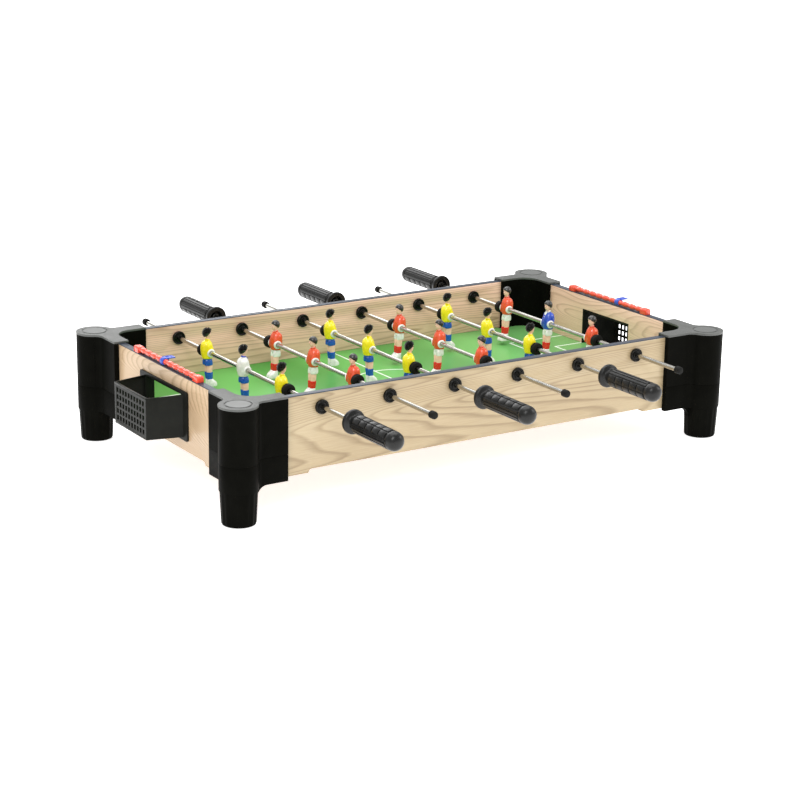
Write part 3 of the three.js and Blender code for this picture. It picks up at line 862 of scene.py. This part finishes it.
def grip():
    """Moulded grip towards -Y: hollow flange, waist, raised blocks, long ribs, domed end."""
    core = 12.8
    profile = [
        (ROD_BORE, 100), (ROD_BORE, 2.6), (5.6, 2.0), (6.2, 2.6), (6.4, 11), (9.6, 11), (10.8, 2.0),
        (11.6, 0.4), (16.8, 0), (17.7, 0.5), (18, 1.5), (17.9, 4.4), (17.2, 6.0), (15.4, 6.9),
        (12.4, 7.4), (11.3, 8.6), (11, 10.5), (11, 14.5), (11.6, 16.8), (core, 18),
    ]
    for start in GRIP_ROWS:
        profile += [(core, start), (core, start + BLOCK)]
    profile += [(core, 102), (13.9, 104.5), (14.0, 107.5), (13.4, 111), (11.9, 114.3)]
    profile += [(9.2, 116.9), (5.7, 118.4), (1.5, 119)]
    made = turned("grip", profile, 96)

    def sector(face):
        centre = face.calc_center_median()
        return int((math.degrees(math.atan2(centre.y, centre.x)) % 180) // FACET), centre.z / MM

    def on_core(face):
        centre = face.calc_center_median()
        return abs(math.hypot(centre.x, centre.y) - core * MM) < 0.2 * MM

    def is_block(face):
        column, height = sector(face)
        if not on_core(face) or column % 12 > 9 or column >= 24:
            return False
        return any(start < height < start + BLOCK for start in GRIP_ROWS)

    def is_rib(face):
        column, height = sector(face)
        return on_core(face) and column >= 24 and column % 6 < 4 and 18.2 < height < 102

    for rule in (is_block, is_rib):
        choose(made, "FACE", rule)
        bpy.ops.mesh.extrude_region_shrink_fatten(
            MESH_OT_extrude_region={}, TRANSFORM_OT_shrink_fatten={"value": 1.25 * MM}
        )
        done()
    return made


# Each grip stopped at its own angle when the rod was last turned.
GRIP_ANGLES = {1: 78, 2: 83, 3: 66, 4: 96, 5: 145, 6: 90}


def stick_end(i):
    """+1 where the rod's grip is at -Y and its men face +X, -1 where both are the other way."""
    return 1 if i % 2 else -1


tube, cap, stopper, handle = rod_tube(), rod_cap(), stop_ring(), grip()
rounded(handle, 0.3, 2, 50)
for i in range(1, RODS + 1):
    spin = 0 if stick_end(i) > 0 else 180
    where = (rod_x(i - 1), REST_SLIDE[i - 1], ROD_Z)
    made = twin(tube, f"rod_tube_{i}", at=where, turn=(0, 0, spin))
    fit(coat(made, CHROME), f"rod_assembly_{i}", "steel_rod", f"rod_{i}")
    made = twin(cap, f"rod_cap_{i}", turn=(0, 0, 180))
    place(made, where, (0, 0, spin + 180))
    fit(coat(made, RUBBER), f"rod_assembly_{i}", "rubber")
    made = twin(handle, f"grip_{i}", turn=(0, 0, GRIP_ANGLES[i]))
    place(place(made, turn=(90, 0, 0)), (0, -GRIP_START, 0))
    place(made, where, (0, 0, spin))
    fit(coat(made, GRIP), f"rod_assembly_{i}", "handle_black", f"handle_{i}")
    for side, flip in (("back", 0), ("front", 180)):
        made = twin(stopper, f"stopper_{i}_{side}", at=where, turn=(0, 0, flip))
        fit(coat(made, RUBBER), f"carriage_{i}", "rubber", f"stop_ring_{i}_{side}")
for piece in (tube, cap, stopper, handle):
    bpy.data.objects.remove(piece)


# ---------------------------------------------------------------- players, facing +X on the rod axis
def limb(name, levels, side=0, at_y=0.0, sides=12, smoothing=2):
    """A soft form from (height, x, x radius, y radius) rings."""
    rings = [(z, x, side * at_y, wide, deep) for z, x, wide, deep in levels]
    return soft(tower(name, rings, sides), smoothing)


def head():
    skull = limb(
        "head",
        [
            (20.0, -1.2, 2.9, 2.9), (22.6, -1.0, 2.9, 2.9), (23.2, -0.2, 3.4, 3.1),
            (25.2, -0.3, 4.8, 4.3), (29.0, -0.8, 5.8, 5.2), (33.0, -1.0, 5.8, 5.2),
            (36.0, -1.2, 4.6, 4.2), (37.2, -1.2, 2.0, 1.8),
        ],
    )
    bridge = [(27.6, 4.5, 1.0, 1.0), (28.8, 4.9, 1.2, 1.1), (31.2, 4.2, 0.6, 0.6)]
    nose = limb("nose", bridge, sides=8)
    brow = limb("brow", [(31.2, 3.7, 1.0, 3.3), (32.2, 3.9, 1.2, 3.5), (33.2, 3.5, 0.9, 3.1)])
    lobe = [(27.4, -1.0, 0.7, 0.5), (29.4, -1.1, 1.4, 0.8), (31.2, -1.2, 0.8, 0.6)]
    ears = [limb("ear", lobe, side, 5.0, 8) for side in (-1, 1)]
    return join(skull, nose, brow, *ears)


def eyes():
    made = []
    for side in (-1, 1):
        clear()
        bpy.ops.mesh.primitive_uv_sphere_add(segments=10, ring_count=6, radius=0.6 * MM)
        eye = named("eye")
        place(eye, (4.4, side * 1.9, 30.3), scale=(0.5, 1.1, 0.8))
        made.append(smooth(eye))
    return join(*made)


def hair(spiky):
    """A cap of hair cut off along a slanted hairline; the spiky one has every lock pulled out."""
    clear()
    bpy.ops.mesh.primitive_uv_sphere_add(segments=20, ring_count=12, radius=MM)
    made = named("hair")
    place(made, scale=(6.9, 6.1, 6.9) if spiky else (7.4, 6.6, 7.4))
    place(made, (-1.5, 0, 31.2))
    hairline = (0.0020, 0, 0.0334) if spiky else (0.0040, 0, 0.0318)
    slant = (-0.72, 0, 0.69) if spiky else (-0.6, 0, 0.8)
    choose(made, "FACE", lambda f: True)
    bpy.ops.mesh.bisect(plane_co=hairline, plane_no=slant, clear_inner=True, use_fill=True)
    done()
    if spiky:
        choose(
            made,
            "FACE",
            lambda f: (f.normal.z > 0.1 or f.normal.x < -0.5)
            and f.calc_area() > 1.2e-6
            and f.calc_area() < 6e-6,
        )
        bpy.ops.mesh.inset(thickness=0.62 * MM, depth=1.9 * MM, use_individual=True)
        done()
        return smooth(made, 70)
    return soft(made, 1)


def shirt():
    torso = limb(
        "torso",
        [
            (-9.9, -2.3, 7.0, 7.2), (-9.3, -2.3, 8.4, 8.6), (-5.0, -2.4, 9.2, 9.2),
            (1.0, -2.5, 10.4, 10.0), (8.0, -2.8, 10.4, 10.0), (12.6, -3.0, 9.6, 9.6),
            (16.0, -3.0, 8.0, 8.4), (18.4, -2.2, 5.4, 5.8), (20.4, -1.4, 3.3, 3.5),
        ],
        sides=16,
    )
    arms = [
        limb(
            "arm",
            [
                (-7.4, -0.2, 3.8, 1.7), (-6.4, -0.2, 5.8, 2.5), (0.0, -0.2, 7.2, 2.9),
                (6.0, -1.0, 7.0, 3.2), (11.0, -2.2, 6.6, 3.4), (15.0, -2.6, 5.4, 3.0),
                (16.8, -2.6, 3.2, 2.0),
            ],
        )
        for s in (-1, 1)
    ]
    for s, arm in zip((-1, 1), arms):
        place(arm, (0, s * 7.4, 0), (s * 8, 0, 0))
    return join(torso, *arms)


def cuffs():
    """Light rings where the figure grips the rod."""
    made = []
    for side in (-1, 1):
        profile = [
            (ROD_BORE, 7.6), (6.1, 7.6), (6.6, 8.1), (6.6, 10.0), (6.1, 10.7), (4.6, 10.9),
            (ROD_BORE, 10.4), (ROD_BORE, 7.6),
        ]
        made.append(smooth(place(turned("cuff", profile, 32), turn=(-90 * side, 0, 0)), 50))
    return join(*made)


def collar():
    profile = [(2.7, -0.9), (3.7, -1.1), (4.0, 0), (3.4, 0.9), (2.7, 0.7), (2.7, -0.9)]
    ring = turned("collar", profile, 24)
    place(ring, (-1.3, 0, 20.6), (0, 14, 0), (1.15, 1.05, 1.0))
    return smooth(ring, 60)


def placket():
    """V of lighter cloth below the throat."""
    made = box("placket", (3.8, -2.8, 11.0), (6.9, 2.8, 18.8))
    choose(made, "VERT", lambda v: v.co.z < 0.012)
    bpy.ops.transform.resize(value=(1, 0.12, 1), center_override=(0, 0, 0))
    done()
    choose(made, "VERT", lambda v: v.co.z > 0.018)
    bpy.ops.transform.translate(value=(-3.4 * MM, 0, 0))
    done()
    return rounded(made, 0.3, 2)


def shorts():
    seat = limb("seat", [(-15.5, -1.5, 6.4, 7.0), (-12, -1.7, 7.0, 7.8), (-6.5, -2.0, 7.0, 7.6)])
    leg = [
        (-20.6, -1.4, 6.2, 3.4), (-20.3, -1.4, 7.2, 4.2), (-16, -1.6, 7.2, 4.2),
        (-9, -1.9, 6.4, 3.6),
    ]
    return join(seat, *[limb("leg", leg, side, 3.75) for side in (-1, 1)])


def pair(name, levels, at_y):
    return join(*[limb(name, levels, s, at_y) for s in (-1, 1)])


def legs():
    levels = [
        (-33.5, 0.1, 4.2, 3.0), (-31, 0.0, 5.2, 3.6), (-26, -0.1, 5.5, 3.8), (-17, -0.4, 5.8, 3.9),
    ]
    return pair("thigh", levels, 3.15)


def socks():
    levels = [
        (-46.5, 0.9, 4.4, 3.2), (-42, 0.7, 4.8, 3.5), (-36.5, 0.3, 5.5, 3.8),
        (-32.2, 0.1, 5.7, 3.85), (-31.4, 0.1, 4.9, 3.3),
    ]
    return pair("sock", levels, 3.15)


def boots():
    levels = [
        (-55.4, 4.8, 7.6, 3.8), (-55.2, 4.8, 8.9, 4.5), (-51.2, 4.7, 8.9, 4.7),
        (-48.0, 3.6, 7.8, 4.5), (-45.6, 1.9, 6.0, 4.0), (-43.6, 1.0, 5.2, 3.6),
        (-42.6, 0.8, 4.0, 3.0),
    ]
    return pair("boot", levels, 3.45)


def figure(name, top, cuff, lower, sock, spiky=False, trim=None):
    parts = [
        coat(shirt(), top),
        coat(head(), SKIN),
        coat(hair(spiky), HAIR),
        coat(eyes(), HAIR),
        coat(cuffs(), cuff),
        coat(collar(), trim or top),
        coat(shorts(), lower),
        coat(legs(), SKIN),
        coat(socks(), sock),
        coat(boots(), WHITE),
    ]
    if trim:
        parts.append(coat(placket(), trim))
    made = join(*parts)
    made.name = made.data.name = name
    return made


YELLOW_MAN = figure("man_yellow", YELLOW, WHITE, BLUE, BLUE, spiky=True)
RED_MAN = figure("man_red", RED, WHITE, WHITE, SOCK_RED)
KEEPERS = {
    1: figure("keeper_white", WHITE, WHITE, BLUE, BLUE, spiky=True, trim=KEEPER_BLUE),
    RODS: figure("keeper_blue", KEEPER_BLUE, WHITE, WHITE, SOCK_RED, trim=WHITE),
}
KEEPER_SLOTS = {1: "keeper_white", RODS: "keeper_blue"}
for i in range(1, RODS + 1):
    team = "yellow_team" if stick_end(i) > 0 else "red_team"
    for spot, y in (("front", -PLAYER_PITCH), ("middle", 0), ("back", PLAYER_PITCH)):
        source = YELLOW_MAN if stick_end(i) > 0 else RED_MAN
        slot = team
        if spot == "middle" and i in KEEPERS:
            source, slot = KEEPERS[i], KEEPER_SLOTS[i]
        spin = 0 if stick_end(i) > 0 else 180
        where = (rod_x(i - 1), y + REST_SLIDE[i - 1], ROD_Z)
        made = twin(source, f"man_{i}_{spot}", at=where, turn=(0, 0, spin))
        fit(made, f"rod_assembly_{i}", slot, f"player_{i}_{spot}")
for piece in (YELLOW_MAN, RED_MAN, *KEEPERS.values()):
    bpy.data.objects.remove(piece)


# ---------------------------------------------------------------- floor and light
def floor():
    clear()
    bpy.ops.mesh.primitive_plane_add(size=60, location=(0, 0, -0.0004))
    made = named("studio_floor")
    bpy.ops.object.transform_apply(location=True, rotation=True, scale=True)
    f = Finish("studio_paper", (0.93, 0.93, 0.93), 0.7, specular=0.15)
    f.shader.inputs["Emission Color"].default_value = (1, 1, 1, 1)
    f.shader.inputs["Emission Strength"].default_value = 0.70
    fibre = f.noise(f.place, 40, 2)
    f.link(f.ramp(fibre, (0.3, (0.925, 0.925, 0.925)), (0.7, (0.935, 0.935, 0.935))), "Base Color")
    return coat(made, f.material)


def softbox(name, at, aim, size, power, color=(1, 1, 1)):
    light = bpy.data.lights.new(name, "AREA")
    light.shape = "RECTANGLE"
    light.size, light.size_y = size
    light.energy = power
    light.color = color
    made = bpy.data.objects.new(name, light)
    bpy.context.scene.collection.objects.link(made)
    made.location = at
    made.rotation_euler = (Vector(aim) - Vector(at)).to_track_quat("-Z", "Y").to_euler()


floor()
softbox("key_softbox", (-2.0, -2.2, 2.6), (0, 0, 0.1), (1.6, 1.6), 62)
softbox("overhead_softbox", (0.2, 0.4, 2.4), (0, 0, 0.1), (2.6, 2.0), 48)
softbox("side_softbox", (2.6, -1.6, 1.5), (0, 0, 0.1), (1.6, 1.4), 26)
softbox("back_softbox", (0.5, 3.0, 1.8), (0, 0, 0.1), (2.4, 1.2), 26)

world = bpy.data.worlds.new("studio")
bpy.context.scene.world = world
world.use_nodes = True
sky = world.node_tree.nodes["Background"]
sky.inputs["Color"].default_value = (1, 1, 1, 1)
sky.inputs["Strength"].default_value = 0.75
bpy.context.scene.view_settings.view_transform = "Standard"
